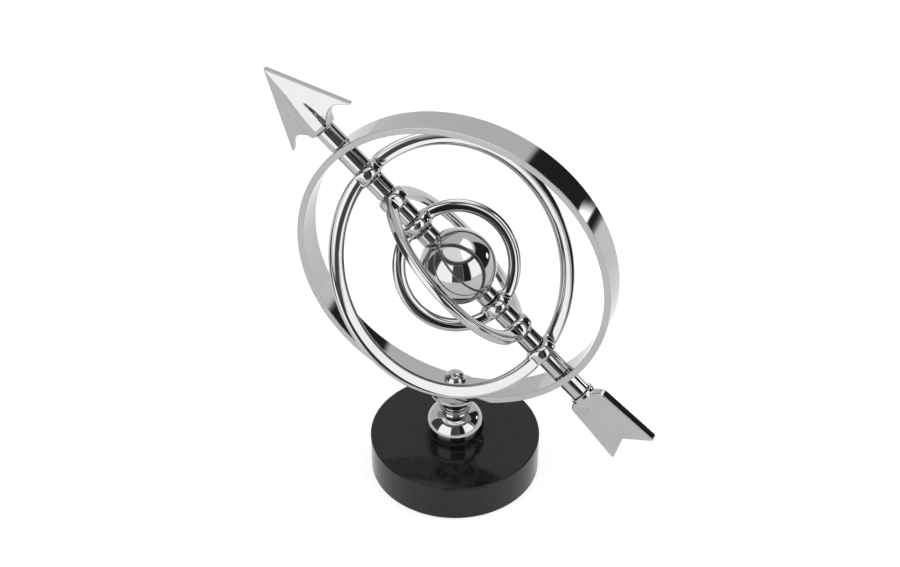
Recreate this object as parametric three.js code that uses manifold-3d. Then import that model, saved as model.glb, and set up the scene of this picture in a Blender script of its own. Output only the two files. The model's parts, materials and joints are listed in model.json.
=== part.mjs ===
// Armillary sphere: a slanted arrow carries a globe and three turning rings inside a large upright ring,
// which stands on a turned stem and a round stone base. Millimetres, +Z up, underside centre at the origin.
import * as THREE from "three";
import { mergeVertices } from "three/addons/utils/BufferGeometryUtils.js";
import Module from "manifold-3d";

const wasm = await Module();
wasm.setup();

// Driving dimensions
const baseRadius = 62.5;
const padThickness = 1.2;
const baseTop = 30.3;
const baseChamfer = 0.9;
const outerRingRadius = 113.9;
const outerRingThickness = 4.7;
const outerRingWidth = 22;
const rodSlope = 43.4; // degrees above the horizontal, towards the arrowhead
const rodRadius = 4;
const sleeveRadius = 7.5;
const globeRadius = 26.8;
const globeShift = -2.6; // along the rod, negative towards the tail
const collarReach = 15.6; // outer ring to the neck of either casting
const headLength = 56.8; // neck to arrow point
const tailLength = 57.5;
const headHalfWidth = 31.5;
const headThickness = 4.8;
const tailHalfWidth = 21.5;
const tailShoulder = 17; // half width where the fletching leaves its socket
const tailThickness = 6.2;
const tailTwist = -8.5; // degrees about the rod, its upper edge towards the front
const studRadius = 4;
const counterboreTop = 14;
const washerThickness = 1.6;
const nutHeight = 6.5;
const beadRadius = 21.8;
const beadHeight = 22;
const neckFoot = 11.6;
const neckHeight = 14;
const saucerRadius = 18.2;
const saucerHeight = 5;
const domeHeight = 10.4;
const gap = 0.3; // between pieces that meet on the slanted rod
const slip = 0.15; // radial play of a plain hole

// Facets round each kind of turned piece
const largeFacets = 72;
const turnedFacets = 32;
const sleeveFacets = 20;
const holeFacets = 20;
const ringTurns = 56;
const ringSides = 8;

// Each turning ring: its place in the room between globe (0) and outer ring (1), half sizes of the section,
// turn about the rod, shift along it, and how far its bosses reach inwards and outwards from the section centre
const largeRing = { place: 0.7476, radial: 5.2, axial: 3.2, turn: 64.5, shift: 0, bossIn: 6.6, bossOut: 4.1 };
const middleRing = { place: 0.4308, radial: 5.2, axial: 2.9, turn: -71, shift: -0.8, bossIn: 5.6, bossOut: 6.6 };
const innerRing = { place: 0.1748, radial: 4.6, axial: 2.9, turn: 48, shift: -1.8, bossIn: 7.6, bossOut: 4.0 };
const bossRound = 2;
const flareLength = 17; // arc over which a ring widens into its boss

// Worked out from them
const rad = Math.PI / 180;
const outerRingInner = outerRingRadius - outerRingThickness;
const beadTop = baseTop + beadHeight;
const neckTop = beadTop + neckHeight;
const saddleHeight = neckTop + saucerHeight; // underside of the outer ring
const ringCentreHeight = saddleHeight + outerRingRadius;
const neckReach = outerRingRadius + collarReach; // ring centre to the neck of either casting
const headReach = neckReach + headLength;
const tailReach = neckReach + tailLength;
const rodEnd = neckReach + 9;
const floorInsideRing = saddleHeight + outerRingThickness;
const rodBore = rodRadius + gap;
const globeFlat = Math.sqrt(globeRadius ** 2 - (sleeveRadius + gap) ** 2);
const bossRadius = sleeveRadius + 3;
const flareHalfWidth = sleeveRadius;
const socketMouth = sleeveRadius + 1.1; // castings, where they meet the collars
const socketRim = sleeveRadius + 1.8;
const washerRadius = 2.75 * studRadius;
const counterboreRadius = washerRadius + 2;
const nutFlats = 3.25 * studRadius;
const crownRadius = 2 * studRadius;
for (const ring of [largeRing, middleRing, innerRing]) {
  ring.radius = globeRadius + ring.place * (outerRingInner - globeRadius);
}

// How far a flat disc of this radius stands off the inside of the outer ring
const sagInsideRing = (radius) => outerRingInner - Math.sqrt(outerRingInner ** 2 - radius ** 2);

// Materials
const paint = (color, roughness, metalness) => new THREE.MeshStandardMaterial({ color, roughness, metalness });
const chrome = () => paint(0xd6d8da, 0.08, 1);
const steel = () => paint(0xa9abad, 0.35, 1);
const stone = () => paint(0x2c2c2e, 0.3, 0);
const felt = () => paint(0x1d1d1f, 0.95, 0);

// Solids
function toSolid(geometry) {
  const plain = geometry.index ? geometry.toNonIndexed() : geometry.clone();
  plain.deleteAttribute("normal");
  plain.deleteAttribute("uv");
  const welded = mergeVertices(plain, 1e-4);
  const mesh = new wasm.Mesh({
    numProp: 3,
    vertProperties: new Float32Array(welded.attributes.position.array),
    triVerts: new Uint32Array(welded.index.array),
  });
  return new wasm.Manifold(mesh);
}

function toGeometry(solid) {
  const mesh = solid.getMesh();
  const geometry = new THREE.BufferGeometry();
  const points = new Float32Array(mesh.numVert * 3);
  for (let i = 0; i < mesh.numVert; i += 1) {
    for (let k = 0; k < 3; k += 1) points[3 * i + k] = mesh.vertProperties[i * mesh.numProp + k];
  }
  geometry.setAttribute("position", new THREE.BufferAttribute(points, 3));
  geometry.setIndex(Array.from(mesh.triVerts));
  return geometry;
}

function addPiece(parent, name, solid, material) {
  const geometry = toGeometry(solid).toNonIndexed();
  geometry.computeVertexNormals();
  const mesh = new THREE.Mesh(geometry, material);
  mesh.name = name;
  parent.add(mesh);
  return mesh;
}

// A body turned about Z from [radius, height] pairs that start and end on the axis
function turned(profile, segments) {
  const points = profile.map(([r, z]) => new THREE.Vector2(r, z));
  return toSolid(new THREE.LatheGeometry(points, segments).rotateX(Math.PI / 2));
}

function cylinder(radius, low, high, segments = holeFacets) {
  return turned([[0, low], [radius, low], [radius, high], [0, high]], segments);
}

function tube(outer, inner, low, high, segments = sleeveFacets) {
  return turned([[inner, low], [outer, low], [outer, high], [inner, high], [inner, low]], segments);
}

function hexPrism(acrossFlats, low, high) {
  const corner = acrossFlats / Math.sqrt(3);
  return turned([[0, low], [corner, low], [corner, high], [0, high]], 6);
}

// A plate of the given outline in the XZ plane, centred on y = 0
function plate(shape, thickness, curveSegments = 6) {
  const geometry = new THREE.ExtrudeGeometry(shape, { depth: thickness, bevelEnabled: false, curveSegments });
  geometry.translate(0, 0, -thickness / 2).rotateX(Math.PI / 2);
  return toSolid(geometry);
}

// Base and stem
function baseDisc() {
  const disc = turned([
    [0, padThickness], [baseRadius - baseChamfer, padThickness], [baseRadius, padThickness + baseChamfer],
    [baseRadius, baseTop - baseChamfer], [baseRadius - baseChamfer, baseTop], [0, baseTop],
  ], largeFacets);
  const counterbore = cylinder(counterboreRadius, 0, counterboreTop, turnedFacets);
  return disc.subtract(cylinder(studRadius + 0.5, 0, baseTop + 1)).subtract(counterbore);
}

// The bead's side is one arc, fullest low down and cut off flat at the base and under the neck
function stemBead() {
  const round = 0.6727 * beadHeight;
  const middle = baseTop + 0.3864 * beadHeight;
  const profile = [[0, baseTop]];
  const steps = 10;
  const low = Math.asin((baseTop - middle) / round);
  const high = Math.asin((beadTop - middle) / round);
  for (let i = 0; i <= steps; i += 1) {
    const turn = low + (high - low) * i / steps;
    profile.push([beadRadius - round + round * Math.cos(turn), middle + round * Math.sin(turn)]);
  }
  profile.push([0, beadTop]);
  return turned(profile, turnedFacets).subtract(cylinder(studRadius + slip, 0, 2 * neckTop));
}

// A short cove over a foot, a collar, and a plain shaft that widens under the saucer
function stemNeck() {
  const waist = neckFoot - 1.2;
  const coveTop = beadTop + 0.26 * neckHeight;
  const profile = [[0, beadTop], [neckFoot, beadTop]];
  const steps = 4;
  for (let i = 1; i < steps; i += 1) {
    const t = i / steps;
    const depth = (neckFoot - waist) * Math.sin(Math.PI * t);
    profile.push([neckFoot - depth, beadTop + (coveTop - beadTop) * t]);
  }
  profile.push(
    [neckFoot + 0.6, coveTop], [neckFoot + 1, coveTop + 0.4], [neckFoot + 1, beadTop + 0.4 * neckHeight],
    [neckFoot + 0.6, beadTop + 0.43 * neckHeight], [waist, beadTop + 0.5 * neckHeight],
    [neckFoot - 0.2, neckTop], [0, neckTop],
  );
  return turned(profile, turnedFacets).subtract(cylinder(studRadius + slip, 0, 2 * neckTop));
}

function stemSaucer() {
  const rim = 1;
  const top = saddleHeight - 0.05;
  return turned([
    [0, neckTop], [saucerRadius - 2.6, neckTop], [saucerRadius - rim * 0.4, neckTop + 1],
    [saucerRadius, neckTop + 1.8], [saucerRadius, top - 0.8], [saucerRadius - rim, top], [0, top],
  ], turnedFacets).subtract(cylinder(studRadius + slip, 0, 2 * neckTop));
}

function domeNut(low) {
  const skirt = 0.29 * domeHeight;
  const profile = [[0, low + skirt - 0.2], [crownRadius, low + skirt - 0.2]];
  const steps = 5;
  for (let i = 0; i < steps; i += 1) {
    const turn = (Math.PI / 2) * (i / steps);
    profile.push([crownRadius * Math.cos(turn), low + skirt + (domeHeight - skirt) * Math.sin(turn)]);
  }
  profile.push([0, low + domeHeight]);
  const body = hexPrism(nutFlats, low, low + skirt).add(turned(profile, sleeveFacets));
  return body.subtract(cylinder(studRadius + slip, low - 1, low + 0.62 * domeHeight));
}

// The upright outer ring, its axis along Y, bored for the rod and the stud
function outerRing() {
  const half = outerRingWidth / 2;
  const edge = 0.35;
  const ring = toSolid(new THREE.LatheGeometry([
    [outerRingInner, half - edge], [outerRingInner, edge - half], [outerRingInner + edge, -half],
    [outerRingRadius - edge, -half], [outerRingRadius, edge - half], [outerRingRadius, half - edge],
    [outerRingRadius - edge, half], [outerRingInner + edge, half], [outerRingInner, half - edge],
  ].map(([r, y]) => new THREE.Vector2(r, y)), 96));
  const rodHole = cylinder(rodBore, -2 * outerRingRadius, 2 * outerRingRadius).rotate([0, rodSlope - 90, 0]);
  const studHole = cylinder(studRadius + slip, -2 * outerRingRadius, 0);
  return ring.subtract(rodHole).subtract(studHole);
}

// A turning ring in its own frame: the ring lies in the XZ plane, the rod runs along Z
function turningRing({ radius, radial, axial, bossIn, bossOut }) {
  const turns = ringTurns;
  const sides = ringSides;
  const points = [];
  const faces = [];
  for (let i = 0; i < turns; i += 1) {
    const angle = (2 * Math.PI * i) / turns;
    const arc = radius * Math.asin(Math.abs(Math.sin(angle)));
    const swell = arc < flareLength ? Math.cos((Math.PI / 2) * (arc / flareLength)) ** 2 : 0;
    const halfWidth = axial + (flareHalfWidth - axial) * swell;
    for (let k = 0; k < sides; k += 1) {
      const around = (2 * Math.PI * (k + 0.5)) / sides;
      const r = radius + radial * Math.cos(around);
      points.push(r * Math.sin(angle), halfWidth * Math.sin(around), r * Math.cos(angle));
      const a = i * sides + k;
      const b = i * sides + (k + 1) % sides;
      const c = ((i + 1) % turns) * sides + k;
      const d = ((i + 1) % turns) * sides + (k + 1) % sides;
      faces.push(a, c, b, b, c, d);
    }
  }
  const geometry = new THREE.BufferGeometry();
  geometry.setAttribute("position", new THREE.BufferAttribute(new Float32Array(points), 3));
  geometry.setIndex(faces);
  const inner = radius - bossIn;
  const seat = radius + bossOut;
  const boss = turned([
    [0, inner], [bossRadius - bossRound, inner], [bossRadius - 0.3 * bossRound, inner + 0.3 * bossRound],
    [bossRadius, inner + bossRound], [bossRadius, seat - bossRound],
    [bossRadius - 0.3 * bossRound, seat - 0.3 * bossRound], [bossRadius - bossRound, seat], [0, seat],
  ], 24);
  const slab = cylinder(2 * radius, -seat, seat);
  const body = toSolid(geometry).intersect(slab).add(boss).add(boss.rotate([180, 0, 0]));
  return body.subtract(cylinder(rodBore, -2 * radius, 2 * radius));
}

function globe() {
  const profile = [[0, -globeFlat]];
  const steps = 12;
  const limit = Math.asin(globeFlat / globeRadius);
  for (let i = 0; i <= steps; i += 1) {
    const turn = -limit + (2 * limit * i) / steps;
    profile.push([globeRadius * Math.cos(turn), globeRadius * Math.sin(turn)]);
  }
  profile.push([0, globeFlat]);
  return turned(profile, turnedFacets).subtract(cylinder(rodBore, -globeRadius, globeRadius));
}

// Both castings are drawn with the rod along Z, the head upwards and the fletching downwards
function arrowhead() {
  const shape = new THREE.Shape();
  const barb = neckReach + 2;
  const bay = neckReach + 8.2;
  shape.moveTo(0, headReach);
  shape.lineTo(-headHalfWidth, barb + 1.2);
  shape.quadraticCurveTo(-headHalfWidth + 0.2, barb - 0.6, -headHalfWidth + 1.8, barb);
  shape.quadraticCurveTo(-24, bay, -19, bay);
  shape.quadraticCurveTo(-13, bay - 0.6, -8, neckReach + 1);
  shape.lineTo(8, neckReach + 1);
  shape.quadraticCurveTo(13, bay - 0.6, 19, bay);
  shape.quadraticCurveTo(24, bay, headHalfWidth - 1.8, barb);
  shape.quadraticCurveTo(headHalfWidth - 0.2, barb - 0.6, headHalfWidth, barb + 1.2);
  shape.closePath();
  const socket = turned([
    [0, neckReach], [socketMouth, neckReach], [socketRim, neckReach + 0.8],
    [socketRim - 0.2, neckReach + 7], [0.81 * socketRim, neckReach + 0.317 * headLength],
    [0.56 * socketRim, neckReach + 0.6 * headLength], [0.31 * socketRim, neckReach + 0.827 * headLength],
    [0.13 * socketRim, neckReach + 0.915 * headLength], [0, neckReach + 0.933 * headLength],
  ], 24);
  const body = plate(shape, headThickness).add(socket);
  return body.subtract(cylinder(rodBore, 0, rodEnd + gap));
}

function fletching() {
  const shape = new THREE.Shape();
  const shoulder = -neckReach - 8.5;
  const tip = -tailReach;
  const wide = tailShoulder;
  shape.moveTo(8, -neckReach - 2.2);
  shape.lineTo(12.5, -neckReach - 3.2);
  shape.quadraticCurveTo(wide - 0.6, shoulder + 3.4, wide, shoulder);
  shape.lineTo(tailHalfWidth, tip + 5);
  shape.quadraticCurveTo(tailHalfWidth + 0.4, tip - 1.4, tailHalfWidth - 4.5, tip + 0.6);
  shape.lineTo(0.8, tip + 11.4);
  shape.lineTo(-0.8, tip + 11.4);
  shape.lineTo(4.5 - tailHalfWidth, tip + 0.6);
  shape.quadraticCurveTo(-tailHalfWidth - 0.4, tip - 1.4, -tailHalfWidth, tip + 5);
  shape.lineTo(-wide, shoulder);
  shape.quadraticCurveTo(0.6 - wide, shoulder + 3.4, -12.5, -neckReach - 3.2);
  shape.lineTo(-8, -neckReach - 2.2);
  shape.closePath();
  const socket = turned([
    [0, -neckReach - 20], [0.32 * socketRim, -neckReach - 18.5], [0.6 * socketRim, -neckReach - 15],
    [0.9 * socketRim, -neckReach - 11], [socketRim, -neckReach - 7], [socketRim, -neckReach - 1],
    [socketMouth, -neckReach], [0, -neckReach],
  ], 24);
  const body = plate(shape, tailThickness).add(socket);
  return body.subtract(cylinder(rodBore, -rodEnd - gap, 0));
}

// Assembly
const part = new THREE.Group();
part.name = "armillary_sphere";

addPiece(part, "felt_pad", cylinder(baseRadius - 1.5, 0, padThickness, largeFacets), felt());
addPiece(part, "base_disc", baseDisc(), stone());
const washerLow = counterboreTop - washerThickness;
const studHole = studRadius + slip;
addPiece(part, "base_washer", tube(washerRadius, studHole, washerLow, counterboreTop), steel());
const nutLow = washerLow - nutHeight;
const nutBody = hexPrism(nutFlats, nutLow, washerLow).subtract(cylinder(studHole, 0, washerLow + 1));
addPiece(part, "base_nut", nutBody, steel());
addPiece(part, "stem_bead", stemBead(), chrome());
addPiece(part, "stem_neck", stemNeck(), chrome());
addPiece(part, "stem_saucer", stemSaucer(), chrome());
const ringWasherLow = floorInsideRing + sagInsideRing(crownRadius) + 0.05;
addPiece(part, "ring_washer", tube(crownRadius, studHole, ringWasherLow, ringWasherLow + 1), steel());
addPiece(part, "dome_nut", domeNut(ringWasherLow + 1), chrome());
const studTop = ringWasherLow + 1 + 0.58 * domeHeight;
addPiece(part, "stem_stud", cylinder(studRadius, nutLow - 2, studTop), steel());

const ringGroup = new THREE.Group();
ringGroup.name = "ring_frame";
ringGroup.position.set(0, 0, ringCentreHeight);
part.add(ringGroup);
addPiece(ringGroup, "outer_ring", outerRing(), chrome());

// In this group the rod runs along Z, with the arrowhead at the top
const rodGroup = new THREE.Group();
rodGroup.name = "rod_frame";
rodGroup.rotation.y = (rodSlope - 90) * rad;
ringGroup.add(rodGroup);
addPiece(rodGroup, "axis_rod", cylinder(rodRadius, -rodEnd, rodEnd), steel());
addPiece(rodGroup, "arrowhead", arrowhead(), chrome());
addPiece(rodGroup, "fletching", fletching(), chrome()).rotation.z = tailTwist * rad;

const globeMesh = addPiece(rodGroup, "globe", globe(), chrome());
globeMesh.position.z = globeShift;
for (const [name, ring] of [["large_ring", largeRing], ["middle_ring", middleRing], ["inner_ring", innerRing]]) {
  const mesh = addPiece(rodGroup, name, turningRing(ring), chrome());
  mesh.rotation.z = ring.turn * rad;
  mesh.position.z = ring.shift;
}

// Spacers fill the rod between each pair of neighbours, on the head side (1) and the tail side (-1)
for (const [side, end] of [[1, "upper"], [-1, "lower"]]) {
  const outFace = (ring) => ring.radius + ring.bossOut + side * ring.shift + gap;
  const inFace = (ring) => ring.radius - ring.bossIn + side * ring.shift - gap;
  const spans = [
    ["collar", outerRingRadius + gap, neckReach - gap],
    ["outer_spacer", outFace(largeRing), outerRingInner - sagInsideRing(sleeveRadius) - gap],
    ["middle_spacer", outFace(middleRing), inFace(largeRing)],
    ["inner_spacer", outFace(innerRing), inFace(middleRing)],
    ["globe_spacer", globeFlat + side * globeShift + gap, inFace(innerRing)],
  ];
  for (const [name, from, to] of spans) {
    const low = Math.min(side * from, side * to);
    const high = Math.max(side * from, side * to);
    addPiece(rodGroup, `${end}_${name}`, tube(sleeveRadius, rodBore, low, high), chrome());
  }
}

export default part;
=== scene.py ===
# Armillary sphere: mirror-polished rings, globe and arrow on a turned stem and a round black stone base
import json
import math

import bmesh
import bpy
import numpy as np
from mathutils import Matrix, Vector


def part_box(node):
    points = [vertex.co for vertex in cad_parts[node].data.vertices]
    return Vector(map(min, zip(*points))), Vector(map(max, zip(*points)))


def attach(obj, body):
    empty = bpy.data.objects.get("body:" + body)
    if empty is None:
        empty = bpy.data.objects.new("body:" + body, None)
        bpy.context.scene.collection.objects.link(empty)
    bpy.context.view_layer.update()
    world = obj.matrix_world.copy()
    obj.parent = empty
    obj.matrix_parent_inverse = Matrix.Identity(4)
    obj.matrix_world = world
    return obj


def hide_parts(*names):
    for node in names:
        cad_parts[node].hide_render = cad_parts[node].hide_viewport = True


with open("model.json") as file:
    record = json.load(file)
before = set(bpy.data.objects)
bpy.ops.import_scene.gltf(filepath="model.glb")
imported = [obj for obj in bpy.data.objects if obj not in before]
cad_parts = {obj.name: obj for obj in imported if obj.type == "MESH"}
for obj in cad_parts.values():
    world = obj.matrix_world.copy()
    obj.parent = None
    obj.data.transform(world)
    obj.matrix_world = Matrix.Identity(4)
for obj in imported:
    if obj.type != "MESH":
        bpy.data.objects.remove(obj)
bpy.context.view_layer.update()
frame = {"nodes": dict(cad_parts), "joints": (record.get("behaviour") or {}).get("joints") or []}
mm = 0.001
scene = bpy.context.scene
print("frame loaded:", len(frame["nodes"]), "nodes")

# Places taken from the frame
ringLow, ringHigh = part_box("outer_ring")
ringCentre = (ringLow + ringHigh) / 2
rodAxis = Vector(frame["joints"][0]["axis"]).normalized()  # towards the arrowhead
across = Vector((0, 1, 0))
rodSide = across.cross(rodAxis)
rodFrame = Matrix.Translation(ringCentre) @ Matrix((rodSide, across, rodAxis)).transposed().to_4x4()
rodInverse = rodFrame.inverted()


def cadPoints(node, inverse):
    # A node's vertices in another frame, as rows
    vertices = np.array([v.co for v in frame["nodes"][node].data.vertices])
    turn = np.array(inverse.to_3x3())
    return vertices @ turn.T + np.array(inverse.translation)


# Camera
view = {"azimuth": 20.03, "elevation": 37.49, "distance": 1.2075, "lens": 70.2, "sensor": 36, "near": 0.05,
        "aside": -3.7 * mm, "down": -13.9 * mm}


def setCamera():
    turn = math.radians(view["azimuth"])
    rise = math.radians(view["elevation"])
    back = Vector((math.sin(turn) * math.cos(rise), -math.cos(turn) * math.cos(rise), math.sin(rise)))
    right = Vector((math.cos(turn), math.sin(turn), 0))
    up = back.cross(right)
    camera = bpy.data.objects.new("camera", bpy.data.cameras.new("camera"))
    camera.data.lens = view["lens"]
    camera.data.sensor_width = view["sensor"]
    camera.data.clip_start = view["near"]
    camera.location = ringCentre + back * view["distance"] + right * view["aside"] + up * view["down"]
    camera.rotation_euler = (-back).to_track_quat("-Z", "Y").to_euler()
    scene.collection.objects.link(camera)
    scene.camera = camera


setCamera()
print("camera set")


# Node trees
class Link:
    def __init__(self, tree, socket):
        self.tree = tree
        self.socket = socket

    def math(self, operation, *others):
        values = dict(enumerate((self, *others)))
        return makeNode(self.tree, "ShaderNodeMath", {"operation": operation}, values)

    def __add__(self, other):
        return self.math("ADD", other)

    __radd__ = __add__

    def __sub__(self, other):
        return self.math("SUBTRACT", other)

    def __rsub__(self, other):
        return makeNode(self.tree, "ShaderNodeMath", {"operation": "SUBTRACT"}, {0: other, 1: self})

    def __mul__(self, other):
        return self.math("MULTIPLY", other)

    __rmul__ = __mul__

    def __rtruediv__(self, other):
        return makeNode(self.tree, "ShaderNodeMath", {"operation": "DIVIDE"}, {0: other, 1: self})

    def __pow__(self, other):
        return self.math("POWER", other)


def makeNode(tree, kind, settings=None, values=None, output=0):
    node = tree.nodes.new(kind)
    for key, value in (settings or {}).items():
        setattr(node, key, value)
    for key, value in (values or {}).items():
        if isinstance(value, Link):
            tree.links.new(value.socket, node.inputs[key])
        else:
            node.inputs[key].default_value = value
    return Link(tree, node.outputs[output])


# Materials
def startMaterial(name, constants):
    material = bpy.data.materials.new(name)
    material.use_nodes = True
    tree = material.node_tree
    surface = tree.nodes["Principled BSDF"]
    for key, value in constants.items():
        surface.inputs[key].default_value = value
    place = makeNode(tree, "ShaderNodeTexCoord", output=3)  # the object's own coordinates
    return material, tree, surface, place


def noise(tree, place, scale, detail=2.0, roughness=0.5, distortion=0.0):
    values = {"Vector": place, "Scale": scale, "Detail": detail}
    values.update({"Roughness": roughness, "Distortion": distortion})
    return makeNode(tree, "ShaderNodeTexNoise", {"noise_dimensions": "3D"}, values)


def mapRange(value, low, high, toLow=0.0, toHigh=1.0):
    settings = {"interpolation_type": "SMOOTHSTEP"}
    values = {0: value, 1: low, 2: high, 3: toLow, 4: toHigh}
    return makeNode(value.tree, "ShaderNodeMapRange", settings, values)


def mixColours(tree, factor, first, second):
    # Inputs 6 and 7 and output 2 are the node's colour sockets
    values = {0: factor, 6: (*first, 1) if isinstance(first, tuple) else first}
    values[7] = (*second, 1) if isinstance(second, tuple) else second
    return makeNode(tree, "ShaderNodeMix", {"data_type": "RGBA"}, values, output=2)


def bump(tree, height, depth, base=None):
    values = {"Height": height, "Strength": 1.0, "Distance": depth}
    if base:
        values["Normal"] = base
    return makeNode(tree, "ShaderNodeBump", {}, values)


def stretched(tree, place, frameMatrix, scales):
    # Coordinates along a piece's own axes, stretched so that a noise on them becomes lines
    parts = []
    for axis, scale in zip(frameMatrix.to_3x3().transposed(), scales):
        values = {0: place, 1: tuple(axis * scale)}
        parts.append(makeNode(tree, "ShaderNodeVectorMath", {"operation": "DOT_PRODUCT"}, values, output=1))
    return makeNode(tree, "ShaderNodeCombineXYZ", {}, dict(enumerate(parts)))


# Mirror plate: what sets one polished piece apart from another
plateFinishes = {
    "outerRingPlate": {"frame": Matrix(), "lines": (140, 1600, 140), "wave": 26, "waveDepth": 0.05,
                       "peel": 0.35},
    "ringPlate": {"frame": rodFrame, "lines": (260, 260, 260), "wave": 55, "waveDepth": 0.10, "peel": 0.8},
    "globePlate": {"frame": rodFrame, "lines": (300, 300, 900), "wave": 40, "waveDepth": 0.02, "peel": 0.3},
    "castingPlate": {"frame": rodFrame, "lines": (420, 420, 160), "wave": 70, "waveDepth": 0.10, "peel": 1.2},
    "spacerPlate": {"frame": rodFrame, "lines": (2600, 2600, 45), "wave": 60, "waveDepth": 0.02, "peel": 0.2},
    "stemPlate": {"frame": Matrix(), "lines": (60, 60, 2400), "wave": 50, "waveDepth": 0.03, "peel": 0.3},
}
plate = {"tone": (0.42, 0.422, 0.425), "dull": (0.385, 0.387, 0.39), "dullShare": 0.6,
         "rough": 0.025, "hazeRough": 0.03, "lineRough": 0.035, "peelDepth": 0.0012, "lineDepth": 0.0005}


def platedMaterial(name):
    finish = plateFinishes[name]
    material, tree, surface, place = startMaterial(name, {"Metallic": 1.0})
    handling = noise(tree, place, 38, 3, 0.55)
    lines = noise(tree, stretched(tree, place, finish["frame"], finish["lines"]), 1.0, 4, 0.65)
    haze = mapRange(handling, 0.42, 0.75)
    tone = mixColours(tree, haze * plate["dullShare"], plate["tone"], plate["dull"])
    tree.links.new(tone.socket, surface.inputs["Base Color"])
    rough = plate["rough"] + haze * plate["hazeRough"] + mapRange(lines, 0.35, 0.8) * plate["lineRough"]
    tree.links.new(rough.socket, surface.inputs["Roughness"])
    wave = noise(tree, place, finish["wave"], 1.5, 0.45)
    peel = noise(tree, place, 620, 2, 0.5)
    normal = bump(tree, wave, finish["waveDepth"] * mm)
    normal = bump(tree, peel, plate["peelDepth"] * finish["peel"] * mm, normal)
    normal = bump(tree, lines, plate["lineDepth"] * mm, normal)
    tree.links.new(normal.socket, surface.inputs["Normal"])
    return material


stone = {"dark": (0.0085, 0.0085, 0.009), "pale": (0.0125, 0.0125, 0.0133), "fleck": (0.032, 0.032, 0.034),
         "fleckShare": 0.4, "rough": 0.075, "cloudRough": 0.05, "fleckRough": 0.1, "cloudDepth": 0.004,
         "pitDepth": 0.002}


def stoneMaterial():
    constants = {"IOR": 1.45, "Specular IOR Level": 0.27}
    material, tree, surface, place = startMaterial("blackStone", constants)
    values = {"Vector": place, "Scale": 900}
    grains = makeNode(tree, "ShaderNodeTexVoronoi", {"feature": "F1"}, values, output=1)
    grain = makeNode(tree, "ShaderNodeSeparateColor", {}, {0: grains})
    cloud = noise(tree, place, 120, 4, 0.6)
    fleck = mapRange(grain, 0.82, 0.98)
    ground = mixColours(tree, mapRange(cloud, 0.3, 0.75), stone["dark"], stone["pale"])
    colour = mixColours(tree, fleck * stone["fleckShare"], ground, stone["fleck"])
    tree.links.new(colour.socket, surface.inputs["Base Color"])
    rough = stone["rough"] + mapRange(cloud, 0.35, 0.8) * stone["cloudRough"] + fleck * stone["fleckRough"]
    tree.links.new(rough.socket, surface.inputs["Roughness"])
    pits = noise(tree, place, 1500, 2, 0.5)
    normal = bump(tree, cloud, stone["cloudDepth"] * mm)
    normal = bump(tree, pits, stone["pitDepth"] * mm, normal)
    tree.links.new(normal.socket, surface.inputs["Normal"])
    return material


steel = {"bright": (0.46, 0.465, 0.47), "stained": (0.34, 0.34, 0.335), "rough": 0.26, "spangleRough": 0.2,
         "spangleDepth": 0.006}


def steelMaterial():
    material, tree, surface, place = startMaterial("plainSteel", {"Metallic": 1.0})
    spangle = noise(tree, place, 420, 3, 0.6)
    stain = noise(tree, place, 70, 3, 0.6)
    colour = mixColours(tree, mapRange(stain, 0.4, 0.8), steel["bright"], steel["stained"])
    tree.links.new(colour.socket, surface.inputs["Base Color"])
    rough = steel["rough"] + spangle * steel["spangleRough"]
    tree.links.new(rough.socket, surface.inputs["Roughness"])
    normal = bump(tree, spangle, steel["spangleDepth"] * mm)
    tree.links.new(normal.socket, surface.inputs["Normal"])
    return material


felt = {"dark": (0.012, 0.012, 0.013), "pale": (0.05, 0.05, 0.052), "rough": 0.88, "matRough": 0.1,
        "fibreDepth": 0.12, "matDepth": 0.15, "segments": 128, "lowEdge": 0.2, "highEdge": 0.4}


def feltMaterial():
    constants = {"Sheen Weight": 0.35, "Sheen Roughness": 0.6, "Specular IOR Level": 0.15}
    material, tree, surface, place = startMaterial("felt", constants)
    fibres = noise(tree, place, 1400, 4, 0.7, 1.5)
    mat = noise(tree, place, 260, 3, 0.6)
    colour = mixColours(tree, mapRange(fibres, 0.35, 0.75), felt["dark"], felt["pale"])
    tree.links.new(colour.socket, surface.inputs["Base Color"])
    rough = felt["rough"] + mat * felt["matRough"]
    tree.links.new(rough.socket, surface.inputs["Roughness"])
    normal = bump(tree, fibres, felt["fibreDepth"] * mm)
    normal = bump(tree, mat, felt["matDepth"] * mm, normal)
    tree.links.new(normal.socket, surface.inputs["Normal"])
    return material


materials = {name: platedMaterial(name) for name in plateFinishes}
materials["blackStone"] = stoneMaterial()
materials["plainSteel"] = steelMaterial()
materials["felt"] = feltMaterial()
print("materials made:", len(materials))


# Meshes
def addPiece(name, mesh, material, body, slot, *nodes):
    mesh.materials.clear()
    mesh.materials.append(materials[material])
    mesh.polygons.foreach_set("use_smooth", [True] * len(mesh.polygons))
    piece = bpy.data.objects.new(name, mesh)
    scene.collection.objects.link(piece)
    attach(piece, body)
    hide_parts(*nodes)
    return piece


def meshFrom(name, vertices, faces, normals=None, place=None):
    mesh = bpy.data.meshes.new(name)
    mesh.from_pydata([tuple(v) for v in vertices], [], [tuple(int(i) for i in f) for f in faces])
    if place:
        mesh.transform(place)
    mesh.polygons.foreach_set("use_smooth", [True] * len(mesh.polygons))
    if normals is not None:
        turn = np.array((place or Matrix()).to_3x3())
        mesh.normals_split_custom_set_from_vertices([tuple(n) for n in normals @ turn.T])
    mesh.validate()
    return mesh


lathe = {"straight": 0.004, "longestReach": 0.49, "arcStep": math.radians(15), "onAxis": 1e-7}


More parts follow.
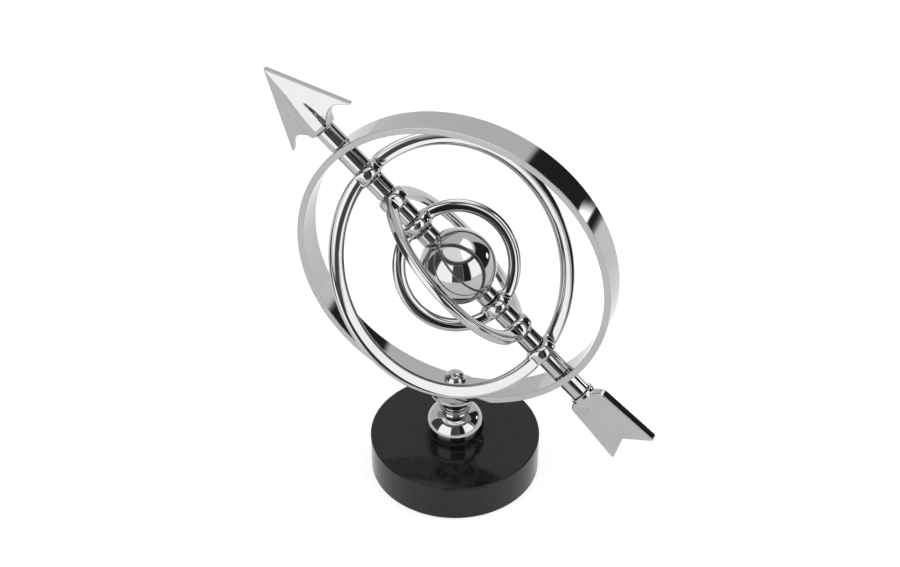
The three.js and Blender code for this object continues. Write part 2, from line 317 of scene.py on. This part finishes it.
def roundedProfile(corners, closed):
    # Corners are (radius, height, rounding); gives points and normals, with an arc in place of each corner
    points = []
    normals = []
    count = len(corners)
    for i, (r, z, rounding) in enumerate(corners):
        here = np.array((r, z), float)
        ends = not closed and i in (0, count - 1)
        before = np.array(corners[i - 1][:2], float) - here if closed or i > 0 else None
        after = np.array(corners[(i + 1) % count][:2], float) - here if closed or i < count - 1 else None
        if ends:
            along = after if i == 0 else -before
            along = along / np.linalg.norm(along)
            points.append(here)
            normals.append(np.array((along[1], -along[0])))
            continue
        a = before / np.linalg.norm(before)
        b = after / np.linalg.norm(after)
        half = math.acos(max(-1, min(1, float(a @ b)))) / 2
        if math.pi / 2 - half < lathe["straight"]:
            points.append(here)
            normals.append(np.array((b[1], -b[0])))
            continue
        longest = min(lathe["longestReach"] * np.linalg.norm(side) for side in (before, after))
        reach = min(rounding / math.tan(half), longest)
        radius = reach * math.tan(half)
        middle = here + (a + b) / np.linalg.norm(a + b) * radius / math.sin(half)
        first = np.array((-a[1], a[0]))
        last = np.array((b[1], -b[0]))
        outward = 1 if float(first @ (here - middle)) > 0 else -1
        steps = max(2, math.ceil((math.pi - 2 * half) / lathe["arcStep"]))
        sweep = math.atan2(float(first[0] * last[1] - first[1] * last[0]), float(first @ last))
        for k in range(steps + 1):
            turn = sweep * k / steps
            normal = np.array((
                first[0] * math.cos(turn) - first[1] * math.sin(turn),
                first[0] * math.sin(turn) + first[1] * math.cos(turn),
            ))
            points.append(middle + outward * normal * radius)
            normals.append(normal)
    return points, normals


def lathed(name, profile, segments, closed=False, place=None):
    # The profile runs with the outside on its right; a point on the axis becomes one pole
    points, normals = profile
    rows = []
    vertices = []
    outward = []
    for (r, z), (nr, nz) in zip(points, normals):
        if r < lathe["onAxis"]:
            rows.append([len(vertices)] * segments)
            vertices.append((0, 0, z))
            outward.append((0, 0, 1 if nz > 0 else -1))
            continue
        rows.append(range(len(vertices), len(vertices) + segments))
        for k in range(segments):
            c = math.cos(2 * math.pi * k / segments)
            s = math.sin(2 * math.pi * k / segments)
            vertices.append((r * c, r * s, z))
            outward.append((nr * c, nr * s, nz))
    faces = []
    pairs = list(zip(rows, rows[1:])) + ([(rows[-1], rows[0])] if closed else [])
    for low, high in pairs:
        for k in range(segments):
            m = (k + 1) % segments
            face = [low[k], low[m], high[m], high[k]]
            face = [v for n, v in enumerate(face) if v not in face[:n]]
            if len(face) > 2:
                faces.append(face)
    return meshFrom(name, np.array(vertices), faces, np.array(outward), place)


# Base
base = {"segments": 192, "edge": 1.1}


def makeBase():
    low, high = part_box("base_disc")
    radius = (high.x - low.x) / 2
    edge = base["edge"] * mm
    corners = [(0, low.z, 0), (radius, low.z, edge), (radius, high.z, edge), (0, high.z, 0)]
    mesh = lathed("stoneBase", roundedProfile(corners, False), base["segments"])
    addPiece("stoneBase", mesh, "blackStone", "stand", "black_stone", "base_disc")
    low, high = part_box("felt_pad")
    radius = (high.x - low.x) / 2
    lowEdge = felt["lowEdge"] * mm
    highEdge = felt["highEdge"] * mm
    corners = [(0, low.z, 0), (radius, low.z, lowEdge), (radius, high.z, highEdge), (0, high.z, 0)]
    mesh = lathed("feltPad", roundedProfile(corners, False), felt["segments"])
    addPiece("feltPad", mesh, "felt", "stand", "felt", "felt_pad")


# Stem: radii, steps and roundings in millimetres
stem = {
    "segments": 160,
    "beadRows": 49,
    "beadRound": 0.6727,  # share of the bead's height, as is the next
    "beadMiddle": 0.3864,
    "foot": 11.0,
    "footTop": 0.6,
    "waist": 10.4,
    "waistLow": 1.3,
    "collar": 12.1,
    "cove": 0.28,  # share of the neck's height, as is the next
    "collarTop": 0.41,
    "coveStep": 0.7,
    "collarStep": 0.6,
    "fine": 0.3,
    "soft": 0.4,
    "round": 0.5,
    "full": 0.6,
}
saucer = {"foot": 11.5, "footRound": 1, "sideIn": 1.2, "sideRise": 1.9, "sideRound": 3, "lipDrop": 1.6,
          "lipRound": 0.7, "rimIn": 0.3, "rimDrop": 0.2, "topIn": 2, "topRound": 0.5}


def makeStem():
    low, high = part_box("stem_bead")
    radius = (high.x - low.x) / 2
    tall = high.z - low.z
    side = stem["beadRound"] * tall
    middle = low.z + stem["beadMiddle"] * tall
    start = math.asin((low.z - middle) / side)
    end = math.asin((high.z - middle) / side)
    turns = np.linspace(start, end, stem["beadRows"])
    points = [np.array((radius - side + side * math.cos(t), middle + side * math.sin(t))) for t in turns]
    normals = [np.array((math.cos(t), math.sin(t))) for t in turns]
    points = [np.array((0, low.z)), *points, np.array((0, high.z))]
    normals = [np.array((0, -1)), *normals, np.array((0, 1))]
    mesh = lathed("stemBead", (points, normals), stem["segments"])
    addPiece("stemBead", mesh, "stemPlate", "stand", "polished_stem", "stem_bead")

    low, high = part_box("stem_neck")
    tall = high.z - low.z
    foot, waist, collar = (stem[k] * mm for k in ("foot", "waist", "collar"))
    cove, collarTop = (low.z + stem[k] * tall for k in ("cove", "collarTop"))
    footTop, waistLow = (stem[k] * mm for k in ("footTop", "waistLow"))
    coveStep, collarStep = (stem[k] * mm for k in ("coveStep", "collarStep"))
    fine, soft, middling, full = (stem[k] * mm for k in ("fine", "soft", "round", "full"))
    corners = [(0, low.z, 0), (foot, low.z, fine), (foot, low.z + footTop, fine)]
    corners += [(waist, low.z + waistLow, middling), (waist, cove, soft), (collar, cove + coveStep, middling)]
    corners += [(collar, collarTop, full), (waist, collarTop + collarStep, soft), (waist, high.z, 0)]
    corners += [(0, high.z, 0)]
    mesh = lathed("stemNeck", roundedProfile(corners, False), stem["segments"])
    addPiece("stemNeck", mesh, "stemPlate", "stand", "polished_stem", "stem_neck")

    low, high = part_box("stem_saucer")
    radius = (high.x - low.x) / 2
    size = {key: value * mm for key, value in saucer.items()}
    corners = [(0, low.z, 0), (size["foot"], low.z, size["footRound"])]
    corners += [(radius - size["sideIn"], low.z + size["sideRise"], size["sideRound"])]
    corners += [(radius, high.z - size["lipDrop"], size["lipRound"])]
    corners += [(radius - size["rimIn"], high.z - size["rimDrop"], size["topRound"])]
    corners += [(radius - size["topIn"], high.z, size["topRound"]), (0, high.z, 0)]
    mesh = lathed("stemSaucer", roundedProfile(corners, False), stem["segments"])
    addPiece("stemSaucer", mesh, "stemPlate", "stand", "polished_stem", "stem_saucer")


# Dome nut: a chamfered hexagon that runs up into a dome
# The chamfer's pairs are a share of the skirt's height and a share of the radius there
nut = {"flats": 13, "skirt": 0.29, "crown": 7.95, "segments": 120, "rows": 16,
       "chamfer": ((0.0, 0.93), (0.08, 0.985), (0.2, 1.0), (0.8, 1.0))}


def makeDomeNut():
    low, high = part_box("dome_nut")
    flat = nut["flats"] * mm / 2
    crown = nut["crown"] * mm
    skirt = low.z + nut["skirt"] * (high.z - low.z)
    segments = nut["segments"]
    turns = [2 * math.pi * k / segments for k in range(segments)]
    outline = [flat / math.cos((turn + math.pi / 6) % (math.pi / 3) - math.pi / 6) for turn in turns]
    rows = [[(min(reach, crown) * share, low.z + rise * (skirt - low.z)) for reach in outline]
            for rise, share in nut["chamfer"]]
    for k in range(nut["rows"]):
        turn = math.pi / 2 * k / nut["rows"]
        rows.append([(crown * math.cos(turn), skirt + (high.z - skirt) * math.sin(turn))] * segments)
    vertices = []
    for row in rows:
        vertices += [(r * math.cos(turn), r * math.sin(turn), z) for (r, z), turn in zip(row, turns)]
    faces = [list(range(segments))[::-1]]
    for row in range(len(rows) - 1):
        for k in range(segments):
            m = (k + 1) % segments
            under = row * segments
            over = under + segments
            faces.append([under + k, under + m, over + m, over + k])
    pole = len(vertices)
    vertices.append((0, 0, high.z))
    last = (len(rows) - 1) * segments
    faces += [(last + k, last + (k + 1) % segments, pole) for k in range(segments)]
    mesh = meshFrom("domeNut", vertices, faces)
    addPiece("domeNut", mesh, "stemPlate", "stand", "polished_stem", "dome_nut")


# Outer ring: a wide flat band on edge
outerRing = {"segments": 360, "edge": 0.45}


def makeOuterRing():
    half = (ringHigh.y - ringLow.y) / 2
    radius = (ringHigh.x - ringLow.x) / 2
    points = cadPoints("outer_ring", Matrix.Translation(-ringCentre))
    inner = float(np.hypot(points[:, 0], points[:, 2]).min())
    edge = outerRing["edge"] * mm
    corners = [(inner, half, edge), (inner, -half, edge), (radius, -half, edge), (radius, half, edge)]
    upright = Matrix.Translation(ringCentre) @ Matrix.Rotation(math.radians(-90), 4, "X")
    mesh = lathed("outerRing", roundedProfile(corners, True), outerRing["segments"], True, upright)
    addPiece("outerRing", mesh, "outerRingPlate", "stand", "polished_outer_ring", "outer_ring")


# Globe
globe = {"segments": 192, "rows": 97}


def makeGlobe():
    points = cadPoints("globe", rodInverse)
    low = float(points[:, 2].min())
    high = float(points[:, 2].max())
    radius = float(np.hypot(points[:, 0], points[:, 1]).max())
    middle = (low + high) / 2
    limit = math.asin((high - middle) / radius)
    turns = np.linspace(-limit, limit, globe["rows"])
    line = [np.array((radius * math.cos(t), middle + radius * math.sin(t))) for t in turns]
    normals = [np.array((math.cos(t), math.sin(t))) for t in turns]
    line = [np.array((0, low)), *line, np.array((0, high))]
    normals = [np.array((0, -1)), *normals, np.array((0, 1))]
    mesh = lathed("globe", (line, normals), globe["segments"], False, rodFrame)
    addPiece("globeShell", mesh, "globePlate", "globe", "polished_globe", "globe")


# Geometry nodes
weldDistance = 1e-6


def startTree(name, inputs):
    tree = bpy.data.node_groups.new(name, "GeometryNodeTree")
    tree.is_modifier = True
    for label in inputs:
        tree.interface.new_socket(name=label, in_out="INPUT", socket_type="NodeSocketFloat")
    tree.interface.new_socket(name="Finish", in_out="INPUT", socket_type="NodeSocketMaterial")
    tree.interface.new_socket(name="Geometry", in_out="OUTPUT", socket_type="NodeSocketGeometry")
    group = tree.nodes.new("NodeGroupInput")
    return tree, {socket.name: Link(tree, socket) for socket in group.outputs if socket.name}


def endTree(tree, mesh, positions, finish):
    placed = makeNode(tree, "GeometryNodeSetPosition", {}, {"Geometry": mesh, "Position": positions})
    welded = makeNode(tree, "GeometryNodeMergeByDistance", {}, {"Geometry": placed, "Distance": weldDistance})
    smooth = makeNode(tree, "GeometryNodeSetShadeSmooth", {}, {"Geometry": welded})
    real = makeNode(tree, "GeometryNodeRealizeInstances", {}, {"Geometry": smooth})
    done = makeNode(tree, "GeometryNodeSetMaterial", {}, {"Geometry": real, "Material": finish})
    output = tree.nodes.new("NodeGroupOutput")
    tree.links.new(done.socket, output.inputs[0])


def unitGrid(tree, columns, rows):
    values = {"Size X": 1.0, "Size Y": 1.0, "Vertices X": columns + 1, "Vertices Y": rows + 1}
    mesh = makeNode(tree, "GeometryNodeMeshGrid", {}, values)
    position = makeNode(tree, "GeometryNodeInputPosition")
    u = makeNode(tree, "ShaderNodeSeparateXYZ", {}, {0: position}, output=0) + 0.5
    v = makeNode(tree, "ShaderNodeSeparateXYZ", {}, {0: position}, output=1) + 0.5
    return mesh, u, v


ringGrid = {"columns": 420, "rows": 56, "gather": 0.36, "seatBlend": 0.5}


def turningRingTree():
    labels = ["Radius", "Depth", "Width", "Boss Radius", "Boss In", "Boss Out", "Blend", "Squareness"]
    tree, given = startTree("turningRing", labels)
    mesh, u, v = unitGrid(tree, ringGrid["columns"], ringGrid["rows"])
    turn = u * (2 * math.pi)
    angle = turn - (turn * 2).math("SINE") * ringGrid["gather"]  # closer columns at the two bosses
    around = v * (2 * math.pi)
    sine = angle.math("SINE")
    cosine = angle.math("COSINE")
    aside = (given["Radius"] * sine).math("ABSOLUTE")
    boss = given["Boss Radius"]
    dome = (boss * boss - aside * aside).math("MAXIMUM", 0.0).math("SQRT")
    halfWidth = given["Width"].math("SMOOTH_MAX", dome, given["Blend"])
    swell = mapRange(aside, boss + given["Blend"], boss - given["Blend"])
    outReach = given["Depth"] + (given["Boss Out"] - given["Depth"]).math("MAXIMUM", 0.0) * swell
    inReach = given["Depth"] + (given["Boss In"] - given["Depth"]) * swell
    power = 2.0 / given["Squareness"]
    c = around.math("COSINE")
    s = around.math("SINE")
    sideways = c.math("SIGN") * c.math("ABSOLUTE") ** power
    along = s.math("SIGN") * s.math("ABSOLUTE") ** power
    outside = c.math("GREATER_THAN", 0.0)
    reach = given["Radius"] + sideways * (outReach * outside + inReach * (1 - outside))
    height = reach * cosine
    seat = given["Radius"] + given["Boss Out"]
    far = height.math("ABSOLUTE").math("SMOOTH_MIN", seat, ringGrid["seatBlend"] * mm)
    level = far * height.math("SIGN")
    place = makeNode(tree, "ShaderNodeCombineXYZ", {}, {0: reach * sine, 1: along * halfWidth, 2: level})
    endTree(tree, mesh, place, given["Finish"])
    return tree


# The corner's pairs are how far in and how far along each point lies, as shares of the edge's rounding
spacer = {"columns": 96, "edge": 0.5,
          "corner": ((1.4, 0.0), (1.0, 0.0), (0.62, 0.08), (0.29, 0.29), (0.08, 0.62), (0.0, 1.0),
                     (0.0, 1.4))}


def spacerTree():
    tree, given = startTree("spacerSleeve", ["Low", "High", "Radius", "Bore", "Edge"])
    low, high, radius, bore, edge = (given[k] for k in ("Low", "High", "Radius", "Bore", "Edge"))
    half = [(bore, 0.0)] + [(radius - edge * inward, share) for inward, share in spacer["corner"]]
    outline = [(r, low + edge * share) for r, share in half]
    outline += [(r, high - edge * share) for r, share in reversed(half)]
    outline.append(outline[0])
    mesh, u, v = unitGrid(tree, spacer["columns"], len(outline) - 1)
    row = (v * (len(outline) - 1)).math("ROUND")
    picked = []
    for k in (0, 1):
        node = tree.nodes.new("GeometryNodeIndexSwitch")
        node.data_type = "FLOAT"
        while len(node.index_switch_items) < len(outline):
            node.index_switch_items.new()
        tree.links.new(row.socket, node.inputs[0])
        for n, pair in enumerate(outline):
            tree.links.new(pair[k].socket, node.inputs[n + 1])
        picked.append(Link(tree, node.outputs[0]))
    angle = u * (2 * math.pi)
    parts = {0: picked[0] * angle.math("COSINE"), 1: picked[0] * angle.math("SINE"), 2: picked[1]}
    place = makeNode(tree, "ShaderNodeCombineXYZ", {}, parts)
    endTree(tree, mesh, place, given["Finish"])
    return tree


def grow(name, tree, values, finish, place):
    # Runs a tree with these inputs and gives its result as a plain mesh, in place and with faces outwards
    carrier = bpy.data.objects.new(name + "Carrier", bpy.data.meshes.new(name + "Carrier"))
    scene.collection.objects.link(carrier)
    modifier = carrier.modifiers.new("shape", "NODES")
    modifier.node_group = tree
    for item in tree.interface.items_tree:
        if item.in_out == "INPUT":
            modifier[item.identifier] = finish if item.name == "Finish" else float(values[item.name])
    graph = bpy.context.evaluated_depsgraph_get()
    mesh = bpy.data.meshes.new_from_object(carrier.evaluated_get(graph), depsgraph=graph)
    carrier.modifiers.remove(modifier)
    bpy.data.objects.remove(carrier)
    mesh.name = name
    mesh.transform(place)
    work = bmesh.new()
    work.from_mesh(mesh)
    bmesh.ops.recalc_face_normals(work, faces=work.faces)
    work.to_mesh(mesh)
    work.free()
    return mesh


# Turning rings, in millimetres apart from the squareness
rings = {
    "large_ring": {"Radius": 88.4, "Depth": 5.2, "Width": 3.2, "Boss Radius": 10.5, "Boss In": 6.6,
                   "Boss Out": 4.1, "Blend": 2.6, "Squareness": 3.2},
    "middle_ring": {"Radius": 62.3, "Depth": 5.2, "Width": 2.9, "Boss Radius": 10.5, "Boss In": 5.6,
                    "Boss Out": 6.6, "Blend": 2.6, "Squareness": 3.4},
    "inner_ring": {"Radius": 41.2, "Depth": 4.6, "Width": 2.9, "Boss Radius": 10.5, "Boss In": 7.6,
                   "Boss Out": 4.0, "Blend": 2.6, "Squareness": 2.4},
}


def makeRings():
    tree = turningRingTree()
    for node, sizes in rings.items():
        points = cadPoints(node, rodInverse)
        shift = float(points[:, 2].max() + points[:, 2].min()) / 2
        x = points[:, 0]
        y = points[:, 1]
        turn = 0.5 * math.atan2(2 * float((x * y).mean()), float((x * x - y * y).mean()))
        place = rodFrame @ Matrix.Translation((0, 0, shift)) @ Matrix.Rotation(turn, 4, "Z")
        values = {k: v * mm if k != "Squareness" else v for k, v in sizes.items()}
        name = node.replace("_r", "R")
        mesh = grow(name, tree, values, materials["ringPlate"], place)
        addPiece(name, mesh, "ringPlate", node, "polished_rings", node)


# Spacer sleeves
def makeSpacers():
    tree = spacerTree()
    for end in ("upper", "lower"):
        for kind in ("collar", "outer_spacer", "middle_spacer", "inner_spacer", "globe_spacer"):
            node = f"{end}_{kind}"
            points = cadPoints(node, rodInverse)
            around = np.hypot(points[:, 0], points[:, 1])
            sizes = {"Low": points[:, 2].min(), "High": points[:, 2].max(), "Edge": spacer["edge"] * mm}
            sizes["Radius"] = around.max()
            sizes["Bore"] = around.min()
            name = end + kind.title().replace("_", "")
            mesh = grow(name, tree, sizes, materials["spacerPlate"], rodFrame)
            addPiece(name, mesh, "spacerPlate", "stand", "polished_spacers", node)


# Castings: a solid given by a rule that is negative inside, turned into a skin that lies exactly on it
skin = {"step": 0.02, "leastSlope": 0.05, "longestMove": 0.7, "firstRounds": 6, "evenings": 4, "rounds": 3,
        "least": 1e-9}


def castSkin(name, rule, low, high, cell, place):
    low = np.array(low, float)
    counts = [int(math.ceil((b - a) / cell)) + 1 for a, b in zip(low, high)]
    axes = [low[k] + cell * np.arange(counts[k]) for k in range(3)]
    grid = np.stack(np.meshgrid(*axes, indexing="ij"), -1)
    inside = rule(grid) < 0
    full = sum(
        inside[i:counts[0] - 1 + i, j:counts[1] - 1 + j, k:counts[2] - 1 + k].astype(np.int8)
        for i in (0, 1) for j in (0, 1) for k in (0, 1)
    )
    mixed = (full > 0) & (full < 8)
    number = np.full(mixed.shape, -1)
    number[mixed] = np.arange(mixed.sum())
    points = low + cell * (np.argwhere(mixed) + 0.5)
    faces = []
    for axis in range(3):
        b = (axis + 1) % 3
        c = (axis + 2) % 3
        near = np.moveaxis(inside, (axis, b, c), (0, 1, 2))
        cells = np.moveaxis(number, (axis, b, c), (0, 1, 2))
        crossing = near[:-1, 1:-1, 1:-1] != near[1:, 1:-1, 1:-1]
        i, j, k = np.nonzero(crossing)
        quad = np.stack([cells[i, j, k], cells[i, j + 1, k], cells[i, j + 1, k + 1], cells[i, j, k + 1]], 1)
        flip = near[i + 1, j + 1, k + 1]
        quad[flip] = quad[flip][:, ::-1]
        faces.append(quad)
    faces = np.concatenate(faces)

    def slope(p):
        step = skin["step"]
        parts = []
        for axis in range(3):
            shift = np.zeros(3)
            shift[axis] = step
            parts.append((rule(p + shift) - rule(p - shift)) / (2 * step))
        return np.stack(parts, -1)

    def settle(p, rounds):
        for _ in range(rounds):
            value = rule(p)
            grad = slope(p)
            size = np.maximum((grad ** 2).sum(-1), skin["leastSlope"])
            move = (value / size)[:, None] * grad
            length = np.linalg.norm(move, axis=1, keepdims=True)
            p = p - move * np.minimum(1, skin["longestMove"] * cell / np.maximum(length, skin["least"]))
        return p

    points = settle(points, skin["firstRounds"])
    neighbours = np.zeros_like(points)
    count = np.zeros(len(points))
    for _ in range(skin["evenings"]):
        neighbours[:] = 0
        count[:] = 0
        for a in range(4):
            for b in (1, 3):
                np.add.at(neighbours, faces[:, a], points[faces[:, (a + b) % 4]])
                np.add.at(count, faces[:, a], 1)
        points = settle(0.5 * points + 0.5 * neighbours / count[:, None], skin["rounds"])
    grad = slope(points)
    normals = grad / np.linalg.norm(grad, axis=1, keepdims=True)
    return meshFrom(name, points * mm, faces, normals, place)


def smoothMin(a, b, blend):
    share = np.maximum(blend - np.abs(a - b), 0) / blend
    return np.minimum(a, b) - share * share * blend / 4


def smoothMax(a, b, blend):
    return -smoothMin(-a, -b, blend)


# Arrowhead and fletching, in millimetres from the neck end of each casting
# The steep values even out how fast a rule grows across a slanted face
casting = {"cell": 0.42, "halfRoom": 12, "endRoom": 2, "neckRoom": 1.5, "neckStart": 0.05}
head = {
    "length": 56.8,
    "halfWidth": 31.5,
    "barb": 3.2,
    "bayPlaces": [0, 7, 11, 15, 19, 23, 27, 31.5],
    "bayHeights": [-0.5, 0.4, 4.4, 7.2, 8.2, 7.8, 5.2, 1.4],
    "baySteep": 0.93,
    "bayRound": 1.6,
    "halfEdge": 2.3,
    "crown": 0.18,
    "crownReach": 15,
    "faceSteep": 0.98,
    "round": 0.9,
    "coneHeights": [0, 3, 8, 14, 20, 26, 32, 38, 44],
    "coneRadii": [8.4, 9.2, 9.0, 8.4, 7.4, 6.0, 4.2, 1.0, -5],
    "bossRound": 3.2,
    "neckRound": 1.2,
    "blend": 2.4,
    "sideRoom": 2,
}
tail = {
    "length": 57.5,
    "shoulder": 8.5,
    "shoulderHalf": 17,
    "tailHalf": 21.6,
    "flankEnd": 5,
    "frontStart": 3.2,
    "frontHalf": 9,
    "frontSlope": 0.5,
    "frontSteep": 0.89,
    "frontRound": 3,
    "notch": 11.4,
    "notchSteep": 0.85,
    "notchRound": 2.2,
    "halfEdge": 3.1,
    "crown": 0.05,
    "crownReach": 14,
    "round": 0.8,
    "hubHeights": [0, 3, 6, 10, 14, 18],
    "hubRadii": [9.25, 9.25, 8.6, 6.5, 3.2, -4],
    "neckRound": 1.0,
    "blend": 1.2,
    "twist": -8.5,
    "sideRoom": 3,
}


def headRule(neck):
    tip = head["length"]
    lean = math.hypot(tip - head["barb"], head["halfWidth"])

    def rule(p):
        side = np.abs(p[..., 0])
        thick = np.abs(p[..., 1])
        z = p[..., 2] - neck
        lead = (side * (tip - head["barb"]) + (z - tip) * head["halfWidth"]) / lean
        bay = np.interp(side, head["bayPlaces"], head["bayHeights"])
        outline = smoothMax(lead, (bay - z) * head["baySteep"], head["bayRound"])
        depth = np.minimum(-lead, head["crownReach"])
        half = head["halfEdge"] + head["crown"] * np.maximum(depth, 0)
        blade = smoothMax(outline, (thick - half) * head["faceSteep"], head["round"])
        cone = np.interp(z, head["coneHeights"], head["coneRadii"])
        roof = (thick + head["crown"] * side - cone) * head["faceSteep"]
        boss = smoothMax(side - cone, roof, head["bossRound"])
        socket = smoothMax(boss, -z + casting["neckStart"], head["neckRound"])
        return smoothMin(blade, socket, head["blend"])

    return rule


def tailRule(neck):
    length = tail["length"]
    shoulder = tail["shoulder"]

    def rule(p):
        side = np.abs(p[..., 0])
        thick = np.abs(p[..., 1])
        z = -p[..., 2] - neck
        slope = (tail["tailHalf"] - tail["shoulderHalf"]) / (length - tail["flankEnd"] - shoulder)
        flank = (side - tail["shoulderHalf"] - slope * (z - shoulder)) / math.hypot(1, slope)
        past = np.maximum(side - tail["frontHalf"], 0)
        front = (-z + tail["frontStart"] + past * tail["frontSlope"]) * tail["frontSteep"]
        notch = z - (length - tail["notch"] * (1 - side / tail["tailHalf"]))
        outline = smoothMax(flank, front, tail["frontRound"])
        outline = smoothMax(outline, notch * tail["notchSteep"], tail["notchRound"])
        depth = np.clip(-outline, 0, tail["crownReach"])
        blade = smoothMax(outline, thick - tail["halfEdge"] - tail["crown"] * depth, tail["round"])
        cone = np.interp(z, tail["hubHeights"], tail["hubRadii"])
        socket = smoothMax(np.hypot(side, thick) - cone, -z + casting["neckStart"], tail["neckRound"])
        return smoothMin(blade, socket, tail["blend"])

    return rule


def makeCastings():
    halfRoom = casting["halfRoom"]
    points = cadPoints("arrowhead", rodInverse)
    neck = float(points[:, 2].min()) / mm
    wide = head["halfWidth"] + head["sideRoom"]
    low = (-wide, -halfRoom, neck - casting["neckRoom"])
    high = (wide, halfRoom, neck + head["length"] + casting["endRoom"])
    mesh = castSkin("arrowhead", headRule(neck), low, high, casting["cell"], rodFrame)
    addPiece("arrowheadCasting", mesh, "castingPlate", "stand", "polished_castings", "arrowhead")
    points = cadPoints("fletching", rodInverse)
    neck = -float(points[:, 2].max()) / mm
    wide = tail["tailHalf"] + tail["sideRoom"]
    low = (-wide, -halfRoom, -neck - tail["length"] - casting["endRoom"])
    high = (wide, halfRoom, -neck + casting["neckRoom"])
    twisted = rodFrame @ Matrix.Rotation(math.radians(tail["twist"]), 4, "Z")
    mesh = castSkin("fletching", tailRule(neck), low, high, casting["cell"], twisted)
    addPiece("fletchingCasting", mesh, "castingPlate", "stand", "polished_castings", "fletching")


makeBase()
makeStem()
makeDomeNut()
makeOuterRing()
makeGlobe()
print("turned pieces made")
makeRings()
makeSpacers()
print("rings and spacers made")
makeCastings()
print("castings made")


# Hardware that stays as the frame has it
for node in ("axis_rod", "stem_stud", "base_nut", "base_washer", "ring_washer"):
    kept = frame["nodes"][node]
    if not kept.material_slots:
        kept.data.materials.append(None)
    for slot in kept.material_slots:
        slot.material = materials["plainSteel"]


# Studio: pale floor and room, with soft panels and dark gaps between them, seen from the ring centre
# Each has a name, azimuth from and to (0 is the front, positive to the right) and elevation from and to,
# in degrees, then its distance in metres, its glow, and the width of its soft edge in degrees
panels = [
    ("frontLeft", -43, 6, -16, 36, 0.72, 2.05, 1.5),
    ("stand", 3, 36, -14, 38, 0.68, 0.12, 1.5),
    ("frontGap", 35, 57, -12, 42, 0.70, 0.03, 1.5),
    ("frontRight", 57, 97, -5, 40, 0.9, 2.05, 1.5),
    ("leftGap", -84, -43, -14, 42, 0.75, 0.1, 3),
    ("rail", -84, 100, 35, 50, 0.95, 0.12, 4),
    ("overhead", -86, 102, 47, 90, 1.0, 1.55, 6),
    ("overheadRight", 40, 104, 46, 84, 0.98, 2.3, 9),
    ("backRightGap", 100, 156, -4, 46, 0.8, 0.03, 3),
    ("lamp", 126, 138, 3, 11, 0.78, 4.0, 2),
    ("backTop", 118, 184, 48, 78, 0.95, 2.3, 5),
]
room = {"wall": 0.95, "paper": 1.0, "floorReach": 6, "floorAlbedo": 0.32, "floorGlow": 0.78,
        "floorRough": 0.8, "tooth": 0.98}
panelGrid = {"columns": 40, "rows": 24}


def makePanel(name, west, east, lower, upper, distance, glow, edge):
    mesh = bpy.data.meshes.new(name)
    columns = panelGrid["columns"]
    rows = panelGrid["rows"]
    vertices = []
    strengths = []
    for i in range(columns + 1):
        for j in range(rows + 1):
            azimuth = west + (east - west) * i / columns
            elevation = lower + (upper - lower) * j / rows
            a = math.radians(azimuth)
            e = math.radians(elevation)
            aim = Vector((math.sin(a) * math.cos(e), -math.cos(a) * math.cos(e), math.sin(e)))
            vertices.append(ringCentre + aim * distance)
            above = upper - elevation if upper < 90 else edge
            margin = min(azimuth - west, east - azimuth, elevation - lower, above)
            share = min(1, max(0, margin / edge))
            strengths.append(share * share * (3 - 2 * share))
    step = rows + 1
    faces = []
    for i in range(columns):
        for j in range(rows):
            k = i * step + j
            faces.append((k, k + 1, k + step + 1, k + step))
    mesh.from_pydata([tuple(v) for v in vertices], [], faces)
    attribute = mesh.attributes.new("glow", "FLOAT", "POINT")
    attribute.data.foreach_set("value", strengths)
    material = bpy.data.materials.new(name)
    material.use_nodes = True
    tree = material.node_tree
    tree.nodes.remove(tree.nodes["Principled BSDF"])
    level = makeNode(tree, "ShaderNodeAttribute", {"attribute_name": "glow"}, output=2)
    light = makeNode(tree, "ShaderNodeEmission", {}, {"Color": (1, 1, 1, 1), "Strength": glow})
    clear = makeNode(tree, "ShaderNodeBsdfTransparent")
    mixed = makeNode(tree, "ShaderNodeMixShader", {}, {0: level, 1: clear, 2: light})
    tree.links.new(mixed.socket, tree.nodes["Material Output"].inputs["Surface"])
    mesh.materials.append(material)
    panel = bpy.data.objects.new(name, mesh)
    scene.collection.objects.link(panel)
    panel.visible_camera = False
    panel.visible_shadow = False


def makeFloor():
    mesh = bpy.data.meshes.new("floor")
    reach = room["floorReach"]
    corners = [(-reach, -reach, 0), (reach, -reach, 0), (reach, reach, 0), (-reach, reach, 0)]
    mesh.from_pydata(corners, [], [(0, 1, 2, 3)])
    constants = {"Specular IOR Level": 0.1, "Emission Strength": 1.0}
    material, tree, surface, place = startMaterial("paperFloor", constants)
    tooth = noise(tree, place, 300, 3, 0.6)
    shade = room["floorAlbedo"]
    worn = shade * room["tooth"]
    colour = mixColours(tree, tooth, (shade, shade, shade), (worn, worn, worn))
    tree.links.new(colour.socket, surface.inputs["Base Color"])
    glow = room["floorGlow"]
    surface.inputs["Emission Color"].default_value = (glow, glow, glow, 1)
    surface.inputs["Roughness"].default_value = room["floorRough"]
    mesh.materials.append(material)
    floor = bpy.data.objects.new("floor", mesh)
    scene.collection.objects.link(floor)


def makeRoom():
    world = bpy.data.worlds.new("room")
    world.use_nodes = True
    tree = world.node_tree
    background = tree.nodes["Background"]
    seen = makeNode(tree, "ShaderNodeLightPath", output=0)
    level = seen * (room["paper"] - room["wall"]) + room["wall"]
    tree.links.new(level.socket, background.inputs["Strength"])
    background.inputs["Color"].default_value = (1, 1, 1, 1)
    scene.world = world
    scene.view_settings.view_transform = "Standard"


makeFloor()
makeRoom()
for settings in panels:
    makePanel(*settings)
print("studio made")
